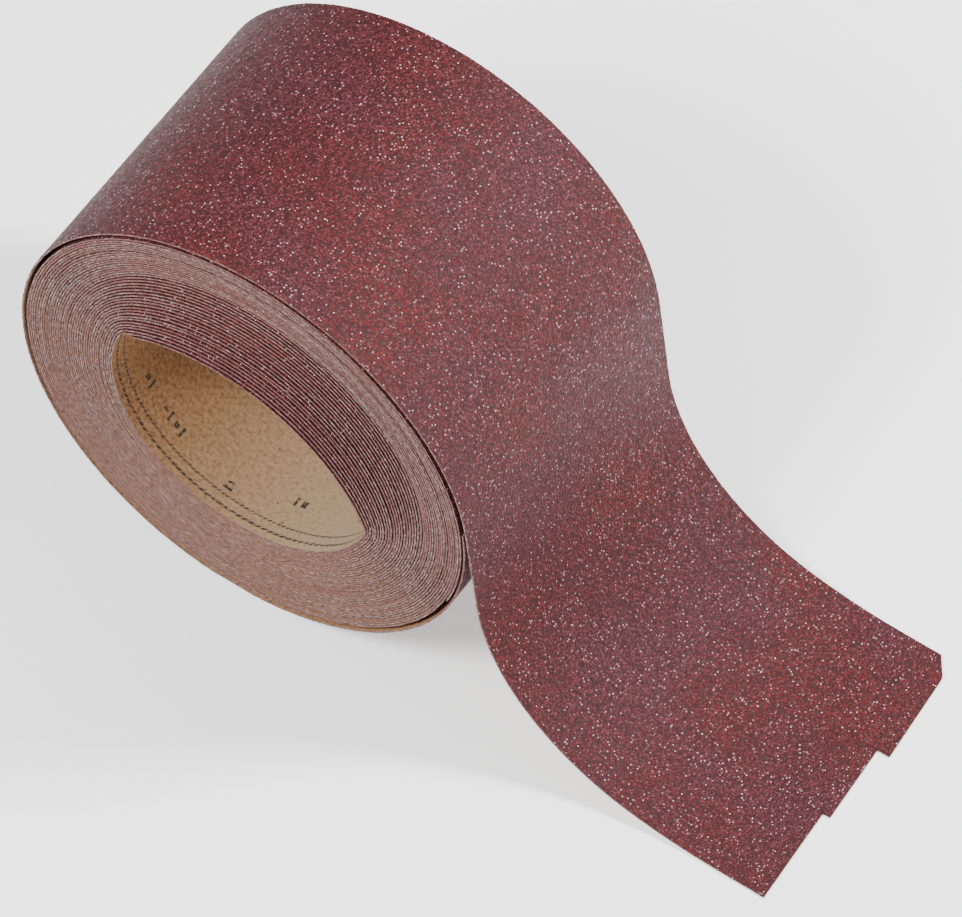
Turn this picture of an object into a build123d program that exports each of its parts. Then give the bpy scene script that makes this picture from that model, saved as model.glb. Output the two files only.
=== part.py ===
from build123d import *

import math
import os

# A coreless roll of coated abrasive paper, standing on its rim, with its leader drawn off to +X.
# The roll's axis is Y, +Z is up, and the origin is on the axis at the middle of the strip's width.
# The strip is one length of paper with abrasive grain bonded to its outer face. Each part is one
# layer of one stretch of it: the loose inner end, four bundles of turns, the outer turn, the leader
# and the end flap, so that the stretches can move as the real strip bends.

# ---- driving dimensions, in millimetres and degrees ----
STRIP_WIDTH = 115.0
PAPER_THICK = 0.35
GRIT_THICK = 0.45

ROLL_RADIUS = 88.0           # to the grit face of the outermost turn
TURN_CLEARANCE = 0.6         # between the outermost turn and the turns on each side of it
FLAT_HALF = 8.0              # half of the flat that the roll's weight presses into the outermost turn
FLAT_SHOULDER_RADIUS = 10.0  # of the bends from that flat into the round
HOLE_RADIUS = 51.3           # the round lower half of the hole
HOLE_RISE = 25.8             # how far the slumped top of the hole stands above the springing line
SPRINGING_ANGLE = -17.0      # that line, through the axis: the slump leans towards the leader
WOUND_TURNS = 38             # whole turns inside the outermost one
BUNDLES = {  # of those turns, from the hole outwards
    "core_turns": 10, "inner_turns": 10,
    "middle_turns": 9, "rim_turns": 9,
}
FIRST_SLUMPED_TURN = 17      # the turns outside this one are round
SLUMP_SPREAD = 1.15          # above 1, the slump gathers in the innermost turns
INNER_SHOULDER_RADIUS = 6.0  # the tight bend at each side of the innermost turn's slumped top

INNER_END_ANGLE = 136.0      # the strip's inner end, on the slumped crown of the innermost turn
INNER_HINGE_ANGLE = 100.0    # where that loose end starts

DEPARTURE_ANGLE = 10.8       # where the leader leaves the roll, above the axis on the +X side
HANG_LENGTH = 36.0           # the straight stretch below that
KNEE_RADIUS = 80.0           # then the leader turns towards the bench in two bends
KNEE_END_SLOPE = 43.0        # slopes are measured from straight down
FOOT_RADIUS = 85.0
FOOT_END_SLOPE = 79.0
FLAP_SLOPE = 60.0            # the end flap starts at this slope of the second bend
END_REACH = 225.0            # further than any point of the cut end

# The cut end is three snips of the scissors and a clipped corner, as (x, y) seen from above.
CUT_END = (
    (212.2, -57.5), (210.7, -18.6),
    (213.5, -18.6), (212.2, 13.0),
    (216.9, 13.0), (214.8, 49.9), (209.5, 57.5),
)

# ---- derived sizes ----
SHEET_THICK = PAPER_THICK + GRIT_THICK
PACK_RADIUS = ROLL_RADIUS - SHEET_THICK - TURN_CLEARANCE
TURN_PITCH = (PACK_RADIUS - SHEET_THICK - HOLE_RADIUS) / WOUND_TURNS
OUTER_PITCH = SHEET_THICK + TURN_CLEARANCE
SHOULDER_INSET = ROLL_RADIUS - FLAT_SHOULDER_RADIUS
FLAT_LEAN = math.degrees(math.asin(FLAT_HALF / SHOULDER_INSET))
BENCH = -(SHOULDER_INSET * math.cos(math.radians(FLAT_LEAN)) + FLAT_SHOULDER_RADIUS)


def unit(angle):
    """The direction at an angle from +X towards +Z."""
    return Vector(math.cos(math.radians(angle)), math.sin(math.radians(angle)))


class Bend:
    """A round stretch. Its radius is the grit face's, and that face is on the left of the way that
    the strip runs outwards, so a clockwise bend has the paper inside and the other kind outside."""

    def __init__(self, centre, radius, start, sweep):
        self.centre = centre
        self.radius = radius
        self.start = start
        self.sweep = sweep

    def radius_at(self, depth):
        return self.radius + math.copysign(depth, self.sweep)

    def point(self, depth, along):
        """The point at a depth under the grit face, from 0 at the start to 1 at the end."""
        return self.centre + unit(self.start + self.sweep * along) * self.radius_at(depth)

    def edge(self, depth):
        return ThreePointArc(self.point(depth, 0), self.point(depth, 0.5), self.point(depth, 1))

    def length(self):
        return abs(math.radians(self.sweep)) * self.radius


class Straight:
    """A straight stretch from a point of the grit face, on a slope measured from straight down."""

    def __init__(self, first, slope, run):
        self.first = first
        self.heading = unit(slope - 90)
        self.under = unit(slope - 180)
        self.run = run

    def point(self, depth, along):
        return self.first + self.heading * (self.run * along) + self.under * depth

    def edge(self, depth):
        return Line(self.point(depth, 0), self.point(depth, 1))

    def length(self):
        return self.run


def lifting_bend(first, slope, end_slope, radius):
    """A bend of the leader away from the roll, from a point of the grit face."""
    return Bend(first + unit(slope) * radius, radius, slope + 180, end_slope - slope)


def arch(left, right, rise, shoulder):
    """The upper half of a turn: a flat crown between two tighter shoulders, square at both feet."""
    half_span = (right - left) / 2
    middle = (right + left) / 2
    if half_span - rise < 0.01:
        return [Bend(Vector(middle, 0), half_span, 180, -180)]
    crown = (half_span**2 + rise**2 - 2 * half_span * shoulder) / (2 * (rise - shoulder))
    inset = half_span - shoulder
    lean = math.degrees(math.atan2(crown - rise, inset))
    return [
        Bend(Vector(middle - inset, 0), shoulder, 180, -lean),
        Bend(Vector(middle, rise - crown), crown, 180 - lean, 2 * lean - 180),
        Bend(Vector(middle + inset, 0), shoulder, lean, -lean),
    ]


def turn_radius(turn):
    """Where the grit face of a wound turn crosses the springing line, on the leader's side."""
    return PACK_RADIUS - turn * TURN_PITCH


def top_of_turn(turn):
    """The upper half of a wound turn, counted inwards from 0."""
    right = turn_radius(turn)
    left = -(right - TURN_PITCH / 2)
    half_span = (right - left) / 2
    depth = max(0.0, (turn - FIRST_SLUMPED_TURN) / (WOUND_TURNS - FIRST_SLUMPED_TURN))
    share = depth**SLUMP_SPREAD
    most_slump = turn_radius(WOUND_TURNS) - TURN_PITCH / 4 - (HOLE_RISE + SHEET_THICK)
    shoulder = half_span + share * (INNER_SHOULDER_RADIUS - half_span)
    return arch(left, right, half_span - share * most_slump, shoulder)


def bottom_of_turn(turn):
    """The round lower half of a wound turn, from the right of the next turn in to its own left."""
    right = turn_radius(turn + 1)
    left = -(turn_radius(turn) - TURN_PITCH / 2)
    return Bend(Vector((right + left) / 2, 0), (right - left) / 2, 0, -180)


def layer(stretch, top, bottom, turned=0.0):
    """The solid between two depths under the grit face, along a stretch of the strip."""
    first, last = stretch[0], stretch[-1]
    outline = [Line(first.point(bottom, 0), first.point(top, 0))]
    outline += [piece.edge(top) for piece in stretch]
    outline += [Line(last.point(top, 1), last.point(bottom, 1))]
    outline += [piece.edge(bottom) for piece in reversed(stretch)]
    section = Rot(0, 0, turned) * make_face(outline)
    return extrude(Plane.XZ * section, amount=STRIP_WIDTH / 2, both=True)


def both_layers(name, stretch, turned=0.0, trim=None):
    """The paper and the grit of one stretch, each as its own part."""
    depths = {"paper": (GRIT_THICK, SHEET_THICK), "grit": (0.0, GRIT_THICK)}
    for material, (top, bottom) in depths.items():
        solid = layer(stretch, top, bottom, turned)
        if trim is not None:
            solid = solid & trim
        export_step(solid, f"parts/{name}_{material}.step")


def cut_end():
    """Everything inside the scissors' line at the free end of the leader."""
    inside = [(0, STRIP_WIDTH), (0, -STRIP_WIDTH), (CUT_END[0][0], -STRIP_WIDTH)]
    outside = [(CUT_END[-1][0], STRIP_WIDTH)]
    outline = make_face(Polyline(*inside, *CUT_END, *outside, close=True))
    return extrude(outline, amount=2 * ROLL_RADIUS, both=True)


# ---- the path of the strip, from its inner end outwards ----
innermost = top_of_turn(WOUND_TURNS)
shoulder, crown = innermost[2], innermost[1]
crown_end = crown.start + crown.sweep
inner_end = [Bend(crown.centre, crown.radius, INNER_END_ANGLE, INNER_HINGE_ANGLE - INNER_END_ANGLE)]
rest_of_crown = Bend(crown.centre, crown.radius, INNER_HINGE_ANGLE, crown_end - INNER_HINGE_ANGLE)
bundles = {}
turns_left = WOUND_TURNS
for name, turns in BUNDLES.items():
    bundles[name] = [] if bundles else [rest_of_crown, shoulder]
    for turn in reversed(range(turns_left - turns, turns_left)):
        bundles[name] += [bottom_of_turn(turn)] + top_of_turn(turn)
    turns_left -= turns

flat_start, flat_end = -90 + FLAT_LEAN, -90 - FLAT_LEAN
half_turn = DEPARTURE_ANGLE - 180
step_out = unit(DEPARTURE_ANGLE) * (OUTER_PITCH / 2)
outer_turn = [
    Bend(Vector(0, 0), ROLL_RADIUS, DEPARTURE_ANGLE, flat_start - DEPARTURE_ANGLE),
    Bend(unit(flat_start) * SHOULDER_INSET, FLAT_SHOULDER_RADIUS, flat_start, -FLAT_LEAN),
    Straight(Vector(FLAT_HALF, BENCH), -90, 2 * FLAT_HALF),
    Bend(unit(flat_end) * SHOULDER_INSET, FLAT_SHOULDER_RADIUS, -90, -FLAT_LEAN),
    Bend(Vector(0, 0), ROLL_RADIUS, flat_end, half_turn - flat_end),
    Bend(step_out, ROLL_RADIUS + OUTER_PITCH / 2, half_turn, -180),
]

hang = Straight(outer_turn[-1].point(0, 1), DEPARTURE_ANGLE, HANG_LENGTH)
knee = lifting_bend(hang.point(0, 1), DEPARTURE_ANGLE, KNEE_END_SLOPE, KNEE_RADIUS)
foot = lifting_bend(knee.point(0, 1), KNEE_END_SLOPE, FLAP_SLOPE, FOOT_RADIUS)
leader = [hang, knee, foot]

flap_foot = lifting_bend(foot.point(0, 1), FLAP_SLOPE, FOOT_END_SLOPE, FOOT_RADIUS)
drop_left = flap_foot.point(0, 1).Y - (BENCH + SHEET_THICK)
rest_radius = drop_left / (1 - math.sin(math.radians(FOOT_END_SLOPE)))
rest = lifting_bend(flap_foot.point(0, 1), FOOT_END_SLOPE, 90.0, rest_radius)
flat = Straight(rest.point(0, 1), 90.0, END_REACH - rest.point(0, 1).X)
end_flap = [flap_foot, rest, flat]

# ---- the parts ----
os.makedirs("parts", exist_ok=True)
both_layers("inner_end", inner_end, turned=SPRINGING_ANGLE)
for name, bundle in bundles.items():
    both_layers(name, bundle, turned=SPRINGING_ANGLE)
both_layers("outer_turn", outer_turn)
both_layers("leader", leader)
both_layers("end_flap", end_flap, trim=cut_end())

stretches = [inner_end, *bundles.values(), outer_turn, leader, end_flap]
strip_length = sum(piece.length() for stretch in stretches for piece in stretch)
print(f"strip length {strip_length / 1000:.2f} m, turn pitch {TURN_PITCH:.3f} mm")
print(f"leader hinge {outer_turn[-1].point(0, 1)}, flap hinge {foot.point(0, 1)}")
print(f"inner end hinge {Rot(0, 0, SPRINGING_ANGLE) * Pos(inner_end[0].point(SHEET_THICK, 1))}")
print(f"rest radius {rest_radius:.1f}, flat stretch from x = {rest.point(0, 1).X:.1f}, bench z {BENCH:.4f}")
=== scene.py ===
import math

import bpy
import numpy as np
from mathutils import Matrix, Vector


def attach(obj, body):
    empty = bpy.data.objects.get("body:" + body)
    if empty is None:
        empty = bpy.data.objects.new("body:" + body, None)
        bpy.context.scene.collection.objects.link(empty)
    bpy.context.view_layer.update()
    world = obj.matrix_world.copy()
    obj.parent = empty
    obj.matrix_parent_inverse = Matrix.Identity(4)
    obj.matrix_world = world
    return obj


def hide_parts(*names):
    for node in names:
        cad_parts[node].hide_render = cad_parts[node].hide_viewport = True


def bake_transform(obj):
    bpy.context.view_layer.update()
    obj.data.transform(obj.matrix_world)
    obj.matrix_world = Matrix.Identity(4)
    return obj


# A coreless roll of abrasive paper. Every piece is one layer, paper or grit, of one stretch of the
# same strip, built along the strip's own path: s runs along it from its inner end, y across it, and
# depth goes from the grit face down to the bare face of the paper. Lengths are in metres.

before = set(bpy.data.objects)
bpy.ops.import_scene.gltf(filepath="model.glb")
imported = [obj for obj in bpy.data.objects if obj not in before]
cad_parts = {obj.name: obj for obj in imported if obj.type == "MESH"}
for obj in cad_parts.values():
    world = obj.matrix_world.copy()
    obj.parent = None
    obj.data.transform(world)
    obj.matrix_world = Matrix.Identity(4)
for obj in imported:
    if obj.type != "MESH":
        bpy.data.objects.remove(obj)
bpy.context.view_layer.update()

MM = 0.001

# ---- the strip and its path, as in the CAD source ----
STRIP_WIDTH = 115 * MM
PAPER_THICK = 0.35 * MM
GRIT_THICK = 0.45 * MM
SHEET_THICK = PAPER_THICK + GRIT_THICK

ROLL_RADIUS = 88 * MM
TURN_CLEARANCE = 0.6 * MM
FLAT_HALF = 8 * MM
FLAT_SHOULDER_RADIUS = 10 * MM
HOLE_RADIUS = 51.3 * MM
HOLE_RISE = 25.8 * MM
SPRINGING_ANGLE = -17.0
WOUND_TURNS = 38
BUNDLES = {"core_turns": 10, "inner_turns": 10, "middle_turns": 9, "rim_turns": 9}
FIRST_SLUMPED_TURN = 17
SLUMP_SPREAD = 1.15
INNER_SHOULDER_RADIUS = 6 * MM
INNER_END_ANGLE = 136.0
INNER_HINGE_ANGLE = 100.0
DEPARTURE_ANGLE = 10.8
HANG_LENGTH = 36 * MM
KNEE_RADIUS = 80 * MM
KNEE_END_SLOPE = 43.0
FOOT_RADIUS = 85 * MM
FOOT_END_SLOPE = 79.0
FLAP_SLOPE = 60.0
CUT_END = (  # x and y along the scissors' line, in millimetres
    (212.2, -57.5), (210.7, -18.6),
    (213.5, -18.6), (212.2, 13.0),
    (216.9, 13.0), (214.8, 49.9), (209.5, 57.5),
)
END_REACH = max(x for x, y in CUT_END) * MM
ROUND_ENOUGH = 0.01 * MM      # a turn that is flatter by less than this is drawn round

PACK_RADIUS = ROLL_RADIUS - SHEET_THICK - TURN_CLEARANCE
TURN_PITCH = (PACK_RADIUS - SHEET_THICK - HOLE_RADIUS) / WOUND_TURNS
OUTER_PITCH = SHEET_THICK + TURN_CLEARANCE
SHOULDER_INSET = ROLL_RADIUS - FLAT_SHOULDER_RADIUS
FLAT_LEAN = math.degrees(math.asin(FLAT_HALF / SHOULDER_INSET))
BENCH = -(SHOULDER_INSET * math.cos(math.radians(FLAT_LEAN)) + FLAT_SHOULDER_RADIUS)

# ---- how real paper differs from that path ----
GRAIN_PITCH = 0.9 * MM        # between the grains of the grit faces that show
GRAIN_SINK = 0.14 * MM        # their mean face, under the CAD's, so that no grain stands out of it
GRAIN_HEIGHT = 0.10 * MM
GRAIN_LIMIT = 1.3             # of the grains and clumps together, in grain heights
CLUMP_SHARE = 0.4             # of the clumps, beside the grains
PACK_STEP = 3.0 * MM          # between the cross-sections of the wound turns
CORE_STEP = 1.6 * MM          # and of the bundle round the hole
PAPER_STEP = 1.5 * MM
CLUMP_PITCH = 2.6 * MM        # between clumps of grain
LAYER_GAP = 0.02 * MM         # between the grit and the paper
SNIP_GAP = 0.03 * MM          # from a snip of the cut end to the columns on each side of it
SNIP_SPLIT = 1e-6 * MM        # keeps a snip's two corners, at one y, in order
TURN_STAGGER = 0.30 * MM      # how far the edges of the turns are out of line
TURN_WANDER = 0.045 * MM      # how far a turn leaves its even spacing
EDGE_RAGGEDNESS = 0.07 * MM
RAGGED_STEP = 1.7 * MM        # between the highs and lows of the ragged edges
WOUND_TURNS_APART = 40        # in the noise, between one bundle and the next
CREASE_ANGLE = 38.0           # edges sharper than this are shaded sharp
BEND_ZONE = 24 * MM           # how much of the strip bends at a hinge
PROBE_STEP = 0.5 * MM         # between the places where a hinge's ends are looked for

# ---- colours and patterns ----
GRAIN_SIZE = 0.88 * MM
CHIP_SIZE = 0.5 * MM
GRAIN_RELIEF = 0.26 * MM
GRIT_PATCH = 45 * MM
GRIT_GREY, GRIT_BROWN, GRIT_RED = (0.095, 0.020, 0.028), (0.100, 0.011, 0.013), (0.128, 0.010, 0.008)
# pink and near-white for the grain tips: a painted highlight and painted glints
GRIT_LIT, GRIT_TIP_HIGHLIGHT, GRIT_PAINTED_GLINT = (0.128, 0.016, 0.019), (0.230, 0.085, 0.108), (0.850, 0.720, 0.780)
# near-black for the gaps between grains: painted shade
GRIT_GAP_SHADE = (0.036, 0.005, 0.007)
CRUSHED_SIZE, CRUSHED_RELIEF = (1.3 * MM, 0.5 * MM), 0.15 * MM   # sizes run along and across the strip
CUT_FIBRE_SIZE, CUT_FIBRE_RELIEF = (2.2 * MM, 0.3 * MM), 0.08 * MM
CUT_GRIT_DARK, CUT_GRIT_LIT = (0.056, 0.017, 0.019), (0.150, 0.050, 0.042)
# the near-black here is painted shade for the hollows of the cut grit
CUT_GRIT_CRUSHED, CUT_GRIT_HOLLOW_SHADE = (0.33, 0.22, 0.20), (0.016, 0.006, 0.007)
CUT_PAPER_DARK, CUT_PAPER_PALE = (0.090, 0.042, 0.036), (0.500, 0.400, 0.350)
CUT_PAPER_DUST = (0.110, 0.040, 0.036)
TURN_TONE = (75 * MM, 60 * MM)   # how far the tone of the cut edges runs along and across
PULP_SIZE, FIBRE_SIZE, PAPER_RELIEF = 1.6 * MM, (3.2 * MM, 0.5 * MM), 0.12 * MM
PAPER_TAN, PAPER_GREIGE = (0.330, 0.170, 0.078), (0.320, 0.235, 0.145)
PAPER_DARK, PAPER_PALE = (0.120, 0.055, 0.026), (0.520, 0.320, 0.180)
GREIGE_END, TAN_START = 150 * MM, 235 * MM   # along the strip, which browns away from its inner end
SPECK, SPECK_SPACING = (0.16, 0.030, 0.025), 7.5 * MM
INK, RUB_SIZE = (0.020, 0.022, 0.024), 1.0 * MM
INK_OUTSIDE, INK_INSIDE = 0.1 * MM, -0.02 * MM   # past a bar's edge: where its ink is gone, and full
DASH_SLANT = 1.4              # how far a dash runs along the strip for each length across it
DASH_FADE = 0.05              # of a dash's length, at its start
LINE_CORE = 0.7               # of a line's half width, in full ink
DASHED_LINES = (              # distance from the edge, half width, length with its gap, and the gap's share
    {"place": 2.4 * MM, "half": 0.60 * MM, "dash": 2.6 * MM, "gap": 0.22},
    {"place": 6.4 * MM, "half": 0.50 * MM, "dash": 1.9 * MM, "gap": 0.30},
)
MARK_REPEAT = 104 * MM        # along the strip
MARK_BARS = (   # s, distance from the edge, half length and half width, in millimetres
    (8.0, 13.0, 0.5, 2.1), (11.2, 13.3, 1.0, 1.0), (15.0, 13.6, 0.5, 2.1), (18.0, 13.8, 1.2, 0.5),
    (29.0, 14.2, 0.5, 2.1), (32.4, 14.4, 1.0, 1.0),
    (62.0, 17.5, 1.0, 1.4), (65.4, 17.7, 0.5, 1.9),
    (88.0, 9.0, 1.8, 0.5), (88.0, 11.4, 1.2, 0.5),
)

# ---- the camera ----
CAMERA_AZIMUTH, CAMERA_ELEVATION, CAMERA_ROLL = 28.8, 55.7, 5.8
CAMERA_TARGET = Vector((0.0599, -0.0029, -0.0266))
CAMERA_DISTANCE = 3.0
VIEW_WIDTH = 0.3184           # of what the picture shows at the target


# ======== the path ========
def unit(angle):
    """The direction at an angle from +X towards +Z, as the complex number x + iz."""
    return np.exp(1j * np.radians(angle))


class Bend:
    """A round stretch of the strip, by the radius of its grit face. A clockwise one has grit outside."""

    def __init__(self, centre, radius, start, sweep):
        self.centre, self.radius, self.start, self.sweep = centre, radius, start, sweep
        self.length = abs(math.radians(sweep)) * radius

    def sample(self, along):
        turned = unit(self.start + self.sweep * along)
        return self.centre + turned * self.radius, turned * -math.copysign(1, self.sweep)


class Straight:
    """A straight stretch, at a slope measured from straight down."""

    def __init__(self, first, slope, length):
        self.first, self.slope, self.length, self.sweep = first, slope, length, 0.0

    def sample(self, along):
        ahead = unit(self.slope - 90) * self.length
        return self.first + ahead * along, np.full(np.shape(along), unit(self.slope))


def end_of(piece):
    return complex(piece.sample(np.array(1.0))[0])


def lifting_bend(first, slope, end_slope, radius):
    return Bend(first + unit(slope) * radius, radius, slope + 180, end_slope - slope)


def arch(left, right, rise, shoulder):
    """The upper half of a turn: a flat crown between two tighter shoulders."""
    half_span, middle = (right - left) / 2, (right + left) / 2
    if half_span - rise < ROUND_ENOUGH:
        return [Bend(middle, half_span, 180, -180)]
    crown = (half_span**2 + rise**2 - 2 * half_span * shoulder) / (2 * (rise - shoulder))
    inset = half_span - shoulder
    lean = math.degrees(math.atan2(crown - rise, inset))
    return [
        Bend(middle - inset, shoulder, 180, -lean),
        Bend(middle + 1j * (rise - crown), crown, 180 - lean, 2 * lean - 180),
        Bend(middle + inset, shoulder, lean, -lean),
    ]


def turn_radius(turn):
    return PACK_RADIUS - turn * TURN_PITCH


def top_of_turn(turn):
    right = turn_radius(turn)
    left = -(right - TURN_PITCH / 2)
    half_span = (right - left) / 2
    share = max(0.0, (turn - FIRST_SLUMPED_TURN) / (WOUND_TURNS - FIRST_SLUMPED_TURN)) ** SLUMP_SPREAD
    most_slump = turn_radius(WOUND_TURNS) - TURN_PITCH / 4 - (HOLE_RISE + SHEET_THICK)
    shoulder = half_span + share * (INNER_SHOULDER_RADIUS - half_span)
    return arch(left, right, half_span - share * most_slump, shoulder)


def bottom_of_turn(turn):
    right = turn_radius(turn + 1)
    left = -(turn_radius(turn) - TURN_PITCH / 2)
    return Bend((right + left) / 2, (right - left) / 2, 0, -180)


def strip_path():
    """Every stretch of the strip, from its inner end outwards."""
    shoulder, crown = top_of_turn(WOUND_TURNS)[2], top_of_turn(WOUND_TURNS)[1]
    crown_end = crown.start + crown.sweep
    loose = Bend(crown.centre, crown.radius, INNER_END_ANGLE, INNER_HINGE_ANGLE - INNER_END_ANGLE)
    rest_of_crown = Bend(crown.centre, crown.radius, INNER_HINGE_ANGLE, crown_end - INNER_HINGE_ANGLE)
    path = {"inner_end": [loose]}
    ahead = [rest_of_crown, shoulder]
    turns_left = WOUND_TURNS
    for name, turns in BUNDLES.items():
        path[name] = ahead
        for turn in reversed(range(turns_left - turns, turns_left)):
            path[name] = path[name] + [bottom_of_turn(turn)] + top_of_turn(turn)
        turns_left -= turns
        ahead = []
    flat_start, flat_end = -90 + FLAT_LEAN, -90 - FLAT_LEAN
    half_turn = DEPARTURE_ANGLE - 180
    path["outer_turn"] = [
        Bend(0, ROLL_RADIUS, DEPARTURE_ANGLE, flat_start - DEPARTURE_ANGLE),
        Bend(unit(flat_start) * SHOULDER_INSET, FLAT_SHOULDER_RADIUS, flat_start, -FLAT_LEAN),
        Straight(complex(FLAT_HALF, BENCH), -90, 2 * FLAT_HALF),
        Bend(unit(flat_end) * SHOULDER_INSET, FLAT_SHOULDER_RADIUS, -90, -FLAT_LEAN),
        Bend(0, ROLL_RADIUS, flat_end, half_turn - flat_end),
        Bend(unit(DEPARTURE_ANGLE) * OUTER_PITCH / 2, ROLL_RADIUS + OUTER_PITCH / 2, half_turn, -180),
    ]
    hang = Straight(end_of(path["outer_turn"][-1]), DEPARTURE_ANGLE, HANG_LENGTH)
    knee = lifting_bend(end_of(hang), DEPARTURE_ANGLE, KNEE_END_SLOPE, KNEE_RADIUS)
    foot = lifting_bend(end_of(knee), KNEE_END_SLOPE, FLAP_SLOPE, FOOT_RADIUS)
    path["leader"] = [hang, knee, foot]
    flap_foot = lifting_bend(end_of(foot), FLAP_SLOPE, FOOT_END_SLOPE, FOOT_RADIUS)
    drop_left = end_of(flap_foot).imag - (BENCH + SHEET_THICK)
    rest_radius = drop_left / (1 - math.sin(math.radians(FOOT_END_SLOPE)))
    rest = lifting_bend(end_of(flap_foot), FOOT_END_SLOPE, 90.0, rest_radius)
    path["end_flap"] = [flap_foot, rest, Straight(end_of(rest), 90.0, END_REACH - end_of(rest).real)]
    return path


PATH = strip_path()
SNIPS = [y * MM for (x, y), (next_x, next_y) in zip(CUT_END, CUT_END[1:]) if y == next_y]
TURNED = {name: SPRINGING_ANGLE for name in ["inner_end", *BUNDLES]}
STARTS = dict(zip(PATH, np.cumsum([0.0] + [sum(p.length for p in pieces) for pieces in PATH.values()])))


class Stations:
    """Places along a stretch: s, the grit face and its outward direction, and the turns wound so far."""

    def __init__(self, stretch, step):
        rows = []
        s, wound = STARTS[stretch], 0.0
        for piece in PATH[stretch]:
            count = max(2, math.ceil(piece.length / step))
            along = np.arange(count + 1 if piece is PATH[stretch][-1] else count) / count
            face, out = piece.sample(along)
            rows.append([s + piece.length * along, face, out, wound + abs(piece.sweep) / 360 * along])
            s, wound = s + piece.length, wound + abs(piece.sweep) / 360
        self.s, self.face, self.out, self.wound = (np.concatenate(column) for column in zip(*rows))
        turn = unit(TURNED.get(stretch, 0.0))
        self.face, self.out = self.face * turn, self.out * turn


# ======== noise ========
LATTICE_SIDE = 256
LATTICE = np.random.default_rng(11).uniform(-1, 1, (LATTICE_SIDE, LATTICE_SIDE))
SEED_SHIFT = (17.3, 31.7)     # in u and v, for each seed


def ripple(u, v=0.0, seed=0):
    """Smooth noise from -1 to 1, with a new value at each whole number of u and of v."""
    u, v = np.broadcast_arrays(u + SEED_SHIFT[0] * seed, v + SEED_SHIFT[1] * seed)
    across, along = np.floor(u).astype(int), np.floor(v).astype(int)
    fu, fv = u - across, v - along
    fu, fv = fu * fu * (3 - 2 * fu), fv * fv * (3 - 2 * fv)
    at = lambda i, j: LATTICE[(across + i) % LATTICE_SIDE, (along + j) % LATTICE_SIDE]
    near = at(0, 0) + fu * (at(1, 0) - at(0, 0))
    far = at(0, 1) + fu * (at(1, 1) - at(0, 1))
    return near + fv * (far - near)


# ======== meshes ========
def layer_mesh(name, places, upper, lower):
    """A closed layer between two faces, each a depth and a y for every place and column across. The
    layer's faces get material 0 and its edges material 1."""
    depth = np.concatenate([upper[0], lower[0][:, ::-1]], axis=1)
    y = np.concatenate([upper[1], lower[1][:, ::-1]], axis=1)
    count, loop = depth.shape
    x_z = places.face[:, None] - places.out[:, None] * depth
    points = np.stack([x_z.real, y, x_z.imag], axis=-1).reshape(-1, 3)
    i = np.arange(count - 1)[:, None] * loop
    j, k = np.arange(loop)[None, :], (np.arange(loop)[None, :] + 1) % loop
    corners = np.broadcast_arrays(i + j, i + k, i + loop + k, i + loop + j)
    quads = np.stack(corners, axis=-1).reshape(-1, 4)
    last = (count - 1) * loop
    if upper[0].shape == lower[0].shape:
        cap = [(at, at + 1, loop - 2 - at, loop - 1 - at) for at in range(loop // 2 - 1)]
        caps = [quad[::-1] for quad in cap] + [tuple(last + corner for corner in quad) for quad in cap]
    else:
        caps = [tuple(range(loop))[::-1], tuple(range(last, last + loop))]
    mesh = bpy.data.meshes.new(name)
    mesh.from_pydata(points.tolist(), [], quads.tolist() + caps)
    sides = np.zeros(loop, np.int32)
    sides[[upper[0].shape[1] - 1, loop - 1]] = 1
    slots = np.concatenate([np.tile(sides, count - 1), np.ones(len(caps), np.int32)])
    mesh.polygons.foreach_set("material_index", slots)
    mesh.polygons.foreach_set("use_smooth", np.ones(len(mesh.polygons), bool))
    along = np.broadcast_to(places.s[:, None], depth.shape)
    unrolled = y + np.sign(y) * depth
    vertex = np.zeros(len(mesh.loops), np.int32)
    mesh.loops.foreach_get("vertex_index", vertex)
    strip = mesh.uv_layers.new(name="strip")
    strip.data.foreach_set("uv", np.stack([along.ravel()[vertex], unrolled.ravel()[vertex]], axis=-1).ravel())
    mesh.validate()
    mesh.set_sharp_from_angle(angle=math.radians(CREASE_ANGLE))
    return mesh


def edge_lines(places, bundle):
    """The y of the near and the far edge at each place, both inside the strip's full width."""
    lines = []
    for seed in (3, 5):
        line = EDGE_RAGGEDNESS * (1 + ripple(places.s / RAGGED_STEP, seed=seed)) / 2
        if bundle:
            line = line + TURN_STAGGER * (1 + ripple(turn_count(places, bundle), seed=seed + 1)) / 2
        lines.append(line)
    return -STRIP_WIDTH / 2 + lines[0], STRIP_WIDTH / 2 - lines[1]


def turn_count(places, bundle):
    """Turns wound so far, offset so that no two bundles share their noise."""
    return places.wound + WOUND_TURNS_APART * list(BUNDLES).index(bundle)


def wander(places, bundle):
    """How far the sheet lies under its even spacing in a wound bundle."""
    return TURN_WANDER * ripple(turn_count(places, bundle), seed=7)[:, None] if bundle else 0.0


def columns(places, bundle, across, snips):
    """The y of evenly spaced columns at each place, with a close pair at each snip of the cut end."""
    near, far = edge_lines(places, bundle)
    y = near[:, None] + (far - near)[:, None] * np.linspace(0, 1, across)[None, :]
    for snip in snips:
        pair = int(np.searchsorted(y[0], snip))
        y[:, pair - 1], y[:, pair] = snip - SNIP_GAP, snip + SNIP_GAP
    return y


def cut_x(y):
    """How far +X the end of the leader reaches at y, by the line of the scissors."""
    corners = np.array(CUT_END) * MM
    in_order = corners[:, 1] + np.arange(len(corners)) * SNIP_SPLIT
    line = np.interp(y, in_order, corners[:, 0])
    return line - EDGE_RAGGEDNESS * (1 + ripple(y / RAGGED_STEP, seed=9)) / 2


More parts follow.
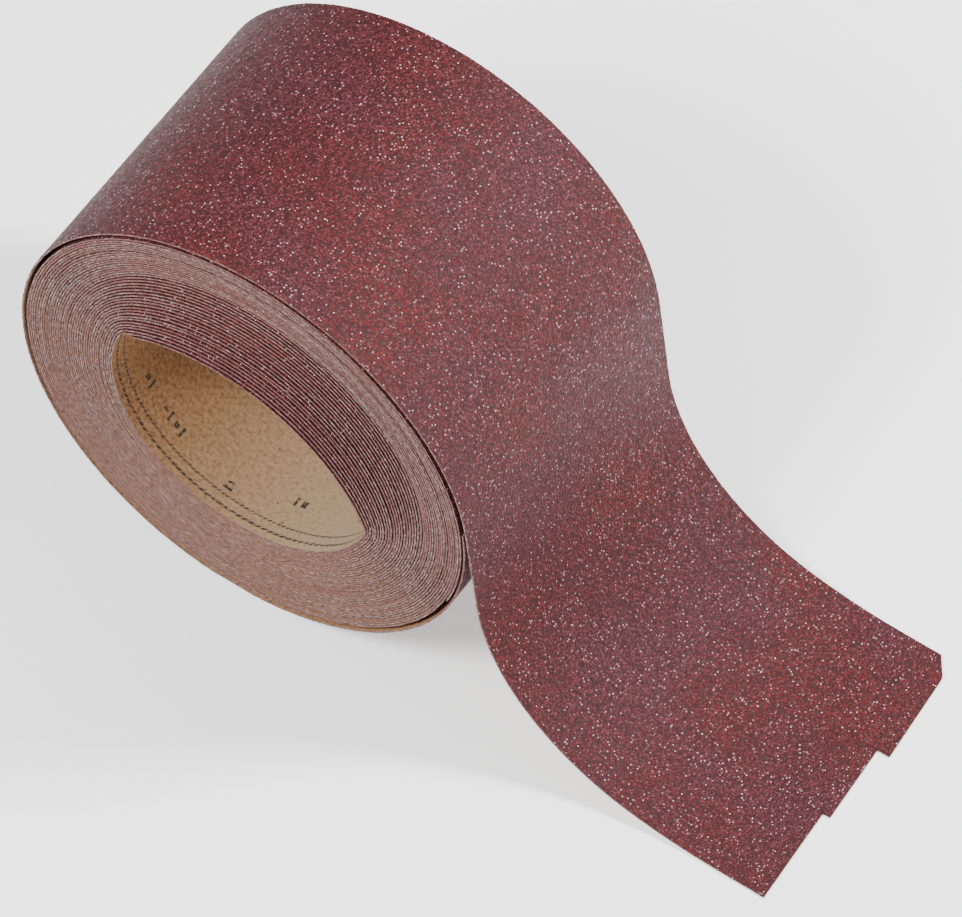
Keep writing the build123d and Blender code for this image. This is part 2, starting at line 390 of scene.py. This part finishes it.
def grit_layer(name, stretch, step, across, snips):
    """The grit of a stretch, with a row of grains across it where its face shows."""
    places = Stations(stretch, step)
    bundle = stretch if stretch in BUNDLES else None
    y = columns(places, bundle, across, snips)
    s = places.s[:, None]
    grains = ripple(s / GRAIN_PITCH, y / GRAIN_PITCH, seed=1)
    clumps = ripple(s / CLUMP_PITCH, y / CLUMP_PITCH, seed=2)
    relief = np.clip(grains + CLUMP_SHARE * clumps, -GRAIN_LIMIT, GRAIN_LIMIT)
    depth = GRAIN_SINK - GRAIN_HEIGHT * relief + wander(places, bundle)
    under = y if snips else y[:, [0, -1]]
    under_depth = np.zeros(under.shape) + GRIT_THICK - LAYER_GAP + wander(places, bundle)
    return layer_mesh(name, places, (depth, y), (under_depth, under))


def paper_layer(name, stretch, step, across, snips):
    """The paper of a stretch, its bare face undermost."""
    places = Stations(stretch, step)
    bundle = stretch if stretch in BUNDLES else None
    y = columns(places, bundle, across, snips)
    flat = np.zeros(y.shape) + wander(places, bundle)
    return layer_mesh(name, places, (flat + GRIT_THICK, y), (flat + SHEET_THICK, y))


# ======== materials ========
class Shader:
    """A material's node tree, with short calls for its nodes. A value may be a number or a socket."""

    def __init__(self, name):
        self.material = bpy.data.materials.new(name)
        self.material.use_nodes = True
        self.tree = self.material.node_tree
        self.surface = self.tree.nodes["Principled BSDF"]
        strip = self.tree.nodes.new("ShaderNodeUVMap")
        strip.uv_map = "strip"
        self.strip = strip.outputs["UV"]

    def put(self, socket, value):
        if isinstance(value, bpy.types.NodeSocket):
            self.tree.links.new(value, socket)
        else:
            socket.default_value = value

    def node(self, kind, output, **inputs):
        made = self.tree.nodes.new(kind)
        for key, value in inputs.items():
            self.put(made.inputs[key], value)
        return made.outputs[output]

    def math(self, operation, a, b=0.0):
        made = self.tree.nodes.new("ShaderNodeMath")
        made.operation = operation
        self.put(made.inputs[0], a)
        self.put(made.inputs[1], b)
        return made.outputs[0]

    def stretched(self, along, across=None):
        """Strip coordinates in units of a feature's length along the strip and across it."""
        made = self.tree.nodes.new("ShaderNodeVectorMath")
        made.operation = "MULTIPLY"
        self.put(made.inputs[0], self.strip)
        made.inputs[1].default_value = (1 / along, 1 / (across or along), 1)
        return made.outputs[0]

    def noise(self, along, across=None, detail=2.0, roughness=0.5):
        texture = {"Scale": 1.0, "Detail": detail, "Roughness": roughness}
        return self.node("ShaderNodeTexNoise", "Fac", Vector=self.stretched(along, across), **texture)

    def grains(self, size, output="Distance"):
        """Cells of a size: the distance from each cell's middle in units of it, or a colour per cell."""
        vector = self.stretched(size)
        return self.node("ShaderNodeTexVoronoi", output, Vector=vector, Scale=1.0, Randomness=1.0)

    def ramp(self, value, *stops):
        """Colours at places from 0 to 1 of a value."""
        made = self.tree.nodes.new("ShaderNodeValToRGB")
        self.put(made.inputs[0], value)
        for index, (place, colour) in enumerate(stops):
            element = made.color_ramp.elements[index] if index < 2 else made.color_ramp.elements.new(place)
            element.position = place
            element.color = (*colour, 1)
        return made.outputs[0]

    def level(self, value, low, high, to_low=0.0, to_high=1.0):
        """The value, mapped from one range to another and kept inside it."""
        made = self.tree.nodes.new("ShaderNodeMapRange")
        self.put(made.inputs[0], value)
        for index, number in enumerate((low, high, to_low, to_high), 1):
            made.inputs[index].default_value = number
        return made.outputs[0]

    def mix(self, share, a, b):
        """The colour a, changed towards b by a share."""
        made = self.tree.nodes.new("ShaderNodeMix")
        made.data_type = "RGBA"
        self.put(made.inputs[0], share)
        for socket, value in ((made.inputs[6], a), (made.inputs[7], b)):
            self.put(socket, value if isinstance(value, bpy.types.NodeSocket) else (*value, 1))
        return made.outputs[2]

    def bump(self, height, distance):
        return self.node("ShaderNodeBump", "Normal", Strength=1.0, Distance=distance, Height=height)

    def finish(self, colour, roughness, normal, specular):
        self.put(self.surface.inputs["Base Color"], colour)
        self.put(self.surface.inputs["Roughness"], roughness)
        self.put(self.surface.inputs["Normal"], normal)
        self.surface.inputs["Specular IOR Level"].default_value = specular
        return self.material


def grit_material():
    """Aluminium oxide grain in a brown-red resin, each grain lighter or darker at random: painted shade in
    the gaps between grains, a painted pink highlight on grain tips and painted pale glints.
    """
    shader = Shader("grit")
    grain = shader.grains(GRAIN_SIZE)
    tint = shader.node("ShaderNodeSeparateColor", "Red", Color=shader.grains(GRAIN_SIZE, "Color"))
    patch = shader.noise(GRIT_PATCH, detail=3.0)
    body = shader.ramp(patch, (0.36, GRIT_GREY), (0.54, GRIT_BROWN), (0.70, GRIT_RED))
    toned = shader.mix(shader.level(tint, 0.0, 1.0, 0.0, 0.5), body, GRIT_LIT)
    # painted shade: the gaps between grains darkened where the relief is low
    gaps = shader.mix(shader.level(grain, 0.34, 0.62), toned, GRIT_GAP_SHADE)
    # a painted pink highlight on the tips of some grains
    tips = shader.level(grain, 0.34, 0.16)
    pink = shader.mix(shader.math("MULTIPLY", tips, shader.level(tint, 0.55, 0.85)), gaps, GRIT_TIP_HIGHLIGHT)
    # painted glints: near-white on the tips of a few grains
    bright = shader.math("MULTIPLY", shader.level(grain, 0.28, 0.14), shader.level(tint, 0.84, 0.90))
    colour = shader.mix(bright, pink, GRIT_PAINTED_GLINT)
    relief = shader.level(grain, 0.0, 0.7, 1.0, 0.0)
    chips = shader.level(shader.grains(CHIP_SIZE), 0.0, 0.7, 0.5, 0.0)
    normal = shader.bump(shader.math("ADD", relief, chips), GRAIN_RELIEF)
    roughness = shader.level(tint, 0.0, 1.0, 0.80, 0.50)
    return shader.finish(colour, roughness, normal, specular=0.3)


def grit_edge_material():
    """The slit edge of the grit, where crushed grain shows pale in the resin, with painted shade in its
    hollows.
    """
    shader = Shader("grit_edge")
    crushed = shader.noise(*CRUSHED_SIZE, detail=3.0, roughness=0.7)
    turn_tone = shader.noise(*TURN_TONE, detail=2.0)
    base = shader.ramp(turn_tone, (0.40, CUT_GRIT_DARK), (0.60, CUT_GRIT_LIT))
    colour = shader.mix(shader.level(crushed, 0.50, 0.68), base, CUT_GRIT_CRUSHED)
    # painted shade in the hollows of the crushed edge, where the bump is low
    dark = shader.mix(shader.level(crushed, 0.46, 0.34), colour, CUT_GRIT_HOLLOW_SHADE)
    return shader.finish(dark, 0.75, shader.bump(crushed, CRUSHED_RELIEF), specular=0.3)


def paper_edge_material():
    """The slit edge of the backing: pale fibres, pressed dark in places by the dust of the grit."""
    shader = Shader("paper_edge")
    fibres = shader.noise(*CUT_FIBRE_SIZE, detail=3.0, roughness=0.65)
    dust = shader.noise(*TURN_TONE, detail=4.0)
    pale = shader.ramp(fibres, (0.46, CUT_PAPER_DARK), (0.66, CUT_PAPER_PALE))
    colour = shader.mix(shader.level(dust, 0.42, 0.60, 0.15, 0.95), pale, CUT_PAPER_DUST)
    return shader.finish(colour, 0.85, shader.bump(fibres, CUT_FIBRE_RELIEF), specular=0.25)


def dashed_line(shader, from_edge, s, line):
    """The ink of a dashed line along the strip, its dashes slanted."""
    slant = shader.math("ADD", shader.math("MULTIPLY", from_edge, DASH_SLANT), s)
    phase = shader.math("FRACT", shader.math("DIVIDE", slant, line["dash"]))
    on_dash = shader.level(phase, line["gap"], line["gap"] + DASH_FADE)
    off_line = shader.math("ABSOLUTE", shader.math("SUBTRACT", from_edge, line["place"]))
    return shader.math("MULTIPLY", on_dash, shader.level(off_line, line["half"], line["half"] * LINE_CORE))


def printed_marks(shader):
    """How much ink lies at a point of the bare face: two dashed lines along one edge, and plain bars in
    place of a maker's print."""
    across = shader.node("ShaderNodeSeparateXYZ", "Y", Vector=shader.strip)
    s = across.node.outputs["X"]
    from_edge = shader.math("ADD", across, STRIP_WIDTH / 2)
    along = shader.math("MULTIPLY", shader.math("FRACT", shader.math("DIVIDE", s, MARK_REPEAT)), MARK_REPEAT)
    offset = lambda value, place: shader.math("SUBTRACT", value, place)
    ink = 0.0
    for line in DASHED_LINES:
        ink = shader.math("MAXIMUM", ink, dashed_line(shader, from_edge, s, line))
    for at_s, at_y, half_s, half_y in MARK_BARS:
        dx = offset(shader.math("ABSOLUTE", offset(along, at_s * MM)), half_s * MM)
        dy = offset(shader.math("ABSOLUTE", offset(from_edge, at_y * MM)), half_y * MM)
        bar = shader.level(shader.math("MAXIMUM", dx, dy), INK_OUTSIDE, INK_INSIDE)
        ink = shader.math("MAXIMUM", ink, bar)
    rubbed = shader.level(shader.noise(RUB_SIZE, detail=4.0, roughness=0.7), 0.36, 0.50)
    return shader.math("MULTIPLY", ink, rubbed)


def paper_back_material():
    """Bare tan kraft: pulp and fibres, both fainter near the inner end, with specks and print."""
    shader = Shader("paper_back")
    s = shader.node("ShaderNodeSeparateXYZ", "X", Vector=shader.strip)
    base = shader.mix(shader.level(s, GREIGE_END, TAN_START), PAPER_GREIGE, PAPER_TAN)
    pulp = shader.noise(PULP_SIZE, detail=4.0, roughness=0.65)
    coarse = shader.level(s, GREIGE_END, TAN_START, 0.3, 1.0)
    dark_pulp = shader.math("MULTIPLY", coarse, shader.level(pulp, 0.36, 0.50, 0.8, 0.0))
    pale_pulp = shader.math("MULTIPLY", coarse, shader.level(pulp, 0.54, 0.72, 0.0, 0.7))
    patchy = shader.mix(dark_pulp, base, PAPER_DARK)
    lit = shader.mix(pale_pulp, patchy, PAPER_PALE)
    fibre = shader.noise(*FIBRE_SIZE, detail=3.0)
    dark_fibre = shader.math("MULTIPLY", coarse, shader.level(fibre, 0.50, 0.66, 0.0, 0.55))
    fibrous = shader.mix(dark_fibre, lit, PAPER_DARK)
    specks = shader.level(shader.grains(SPECK_SPACING), 0.065, 0.045)
    specked = shader.mix(specks, fibrous, SPECK)
    colour = shader.mix(printed_marks(shader), specked, INK)
    height = shader.math("ADD", pulp, shader.math("MULTIPLY", fibre, 0.5))
    return shader.finish(colour, 0.8, shader.bump(height, PAPER_RELIEF), specular=0.25)


# ======== the pieces ========
def add_piece(name, mesh, materials):
    piece = bpy.data.objects.new(name, mesh)
    bpy.context.scene.collection.objects.link(piece)
    for material in materials:
        mesh.materials.append(material)
    return piece


GRIT, GRIT_EDGE = grit_material(), grit_edge_material()
PAPER_BACK, PAPER_EDGE = paper_back_material(), paper_edge_material()
EDGES_ONLY, LOOSE_COLUMNS, LEADER_COLUMNS = 2, 24, 40   # columns across the strip
ACROSS_GRAINS = round(STRIP_WIDTH / GRAIN_PITCH)

# stretch: (step of the grit, columns across it, step of the paper, columns across it)
FINENESS = {
    "inner_end": (CORE_STEP, LOOSE_COLUMNS, PAPER_STEP, LOOSE_COLUMNS),
    "core_turns": (CORE_STEP, EDGES_ONLY, CORE_STEP, EDGES_ONLY),
    "inner_turns": (PACK_STEP, EDGES_ONLY, PACK_STEP, EDGES_ONLY),
    "middle_turns": (PACK_STEP, EDGES_ONLY, PACK_STEP, EDGES_ONLY),
    "rim_turns": (PACK_STEP, EDGES_ONLY, PACK_STEP, EDGES_ONLY),
    "outer_turn": (GRAIN_PITCH, ACROSS_GRAINS, PAPER_STEP, EDGES_ONLY),
    "leader": (GRAIN_PITCH, ACROSS_GRAINS, PAPER_STEP, LEADER_COLUMNS),
    "end_flap": (GRAIN_PITCH, ACROSS_GRAINS, PAPER_STEP, LEADER_COLUMNS),
}


def trim_to_cut(mesh):
    """Pulls the last places of the end flap back to the line of the scissors."""
    points = np.zeros(len(mesh.vertices) * 3)
    mesh.vertices.foreach_get("co", points)
    points = points.reshape(-1, 3)
    line = cut_x(points[:, 1])
    flat_from = end_of(PATH["end_flap"][1]).real
    share = np.clip((points[:, 0] - flat_from) / (END_REACH - flat_from), 0, None)
    points[:, 0] = np.where(share > 0, flat_from + share * (line - flat_from), points[:, 0])
    mesh.vertices.foreach_set("co", points.ravel())
    mesh.update()


def strip_point(stretch, distance):
    """A point of the grit face, a distance along a stretch."""
    places = Stations(stretch, PROBE_STEP)
    index = int(np.argmin(abs(places.s - STARTS[stretch] - distance)))
    return Vector((places.face[index].real, 0, places.face[index].imag))


def place_on_body(piece, stretch):
    """Wound bundles and the outer turn ride on their body. The stretches past a hinge are put on no body and
    keep the shape they are built in.
    """
    hinges = {
        "inner_end": ("wound_pack", "inner_end"),
        "leader": ("outer_turn", "leader"),
        "end_flap": ("leader", "end_flap"),
    }
    if stretch not in hinges:
        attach(piece, "outer_turn" if stretch == "outer_turn" else "wound_pack")
        return
    length = sum(part.length for part in PATH[stretch])
    if stretch == "inner_end":
        strip_point(stretch, length)
        strip_point(stretch, length - BEND_ZONE)
        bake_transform(piece)
    else:
        strip_point(stretch, 0)
        strip_point(stretch, BEND_ZONE)
        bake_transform(piece)


for stretch, (grit_step, grains_across, paper_step, paper_across) in FINENESS.items():
    snips = SNIPS if stretch == "end_flap" else ()
    grit_mesh = grit_layer(f"{stretch}_grit_coat", stretch, grit_step, grains_across, snips)
    paper_mesh = paper_layer(f"{stretch}_backing", stretch, paper_step, paper_across, snips)
    if stretch == "end_flap":
        trim_to_cut(grit_mesh)
        trim_to_cut(paper_mesh)
    grit_piece = add_piece(grit_mesh.name, grit_mesh, (GRIT, GRIT_EDGE))
    paper_piece = add_piece(paper_mesh.name, paper_mesh, (PAPER_BACK, PAPER_EDGE))
    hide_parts(f"{stretch}_grit")
    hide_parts(f"{stretch}_paper")
    place_on_body(grit_piece, stretch)
    place_on_body(paper_piece, stretch)


# ======== the stage, the light and the camera ========
FLOOR_COLOUR = (0.95, 0.95, 0.95, 1)
FLOOR_GLOW = 0.6
FLOOR_SIDE = 6.0
FLOOR_DROP = 0.1 * MM         # under the roll and its end flap, so that no two faces coincide
WORLD_LIGHT = 0.42
LIGHTS_AIM = Vector((0.05, 0, 0))
LIGHTS = {                    # direction, distance, side and power
    "key": ((-0.35, -0.75, 0.9), 1.3, 0.4, 26),
    "sheen": ((0.50, 0.49, 0.70), 1.2, 0.25, 27),
}


def add_floor():
    mesh = bpy.data.meshes.new("floor")
    half, level = FLOOR_SIDE / 2, BENCH - FLOOR_DROP
    corners = [(-half, -half, level), (half, -half, level), (half, half, level), (-half, half, level)]
    mesh.from_pydata(corners, [], [(0, 1, 2, 3)])
    floor = bpy.data.objects.new("floor", mesh)
    bpy.context.scene.collection.objects.link(floor)
    material = bpy.data.materials.new("floor")
    material.use_nodes = True
    surface = material.node_tree.nodes["Principled BSDF"]
    surface.inputs["Base Color"].default_value = FLOOR_COLOUR
    surface.inputs["Roughness"].default_value = 1.0
    surface.inputs["Emission Color"].default_value = (1, 1, 1, 1)
    surface.inputs["Emission Strength"].default_value = FLOOR_GLOW
    mesh.materials.append(material)


def add_light(name, direction, distance, size, power):
    """A square soft light that faces the roll from a direction."""
    light = bpy.data.lights.new(name, "AREA")
    light.shape, light.size, light.energy = "SQUARE", size, power
    lamp = bpy.data.objects.new(name, light)
    bpy.context.scene.collection.objects.link(lamp)
    away = Vector(direction).normalized()
    lamp.location = LIGHTS_AIM + away * distance
    lamp.rotation_mode = "QUATERNION"
    lamp.rotation_quaternion = away.to_track_quat("Z", "Y")


def add_world():
    world = bpy.data.worlds.new("world")
    bpy.context.scene.world = world
    world.use_nodes = True
    background = world.node_tree.nodes["Background"]
    background.inputs["Color"].default_value = (1, 1, 1, 1)
    background.inputs["Strength"].default_value = WORLD_LIGHT


def add_camera():
    azimuth, elevation = math.radians(CAMERA_AZIMUTH), math.radians(CAMERA_ELEVATION)
    level = Vector((math.cos(azimuth), math.sin(azimuth), 0))
    ahead = Vector((math.sin(azimuth), -math.cos(azimuth), 0))
    back = ahead * math.cos(elevation) + Vector((0, 0, math.sin(elevation)))
    roll = math.radians(CAMERA_ROLL)
    right = level * math.cos(roll) + back.cross(level) * math.sin(roll)
    data = bpy.data.cameras.new("camera")
    data.lens = data.sensor_width * CAMERA_DISTANCE / VIEW_WIDTH
    data.clip_end = 3 * CAMERA_DISTANCE
    camera = bpy.data.objects.new("camera", data)
    bpy.context.scene.collection.objects.link(camera)
    turned = Matrix((right, back.cross(right), back)).transposed().to_4x4()
    camera.matrix_world = Matrix.Translation(CAMERA_TARGET + back * CAMERA_DISTANCE) @ turned
    bpy.context.scene.camera = camera


add_floor()
add_world()
for light_name, settings in LIGHTS.items():
    add_light(light_name, *settings)
add_camera()
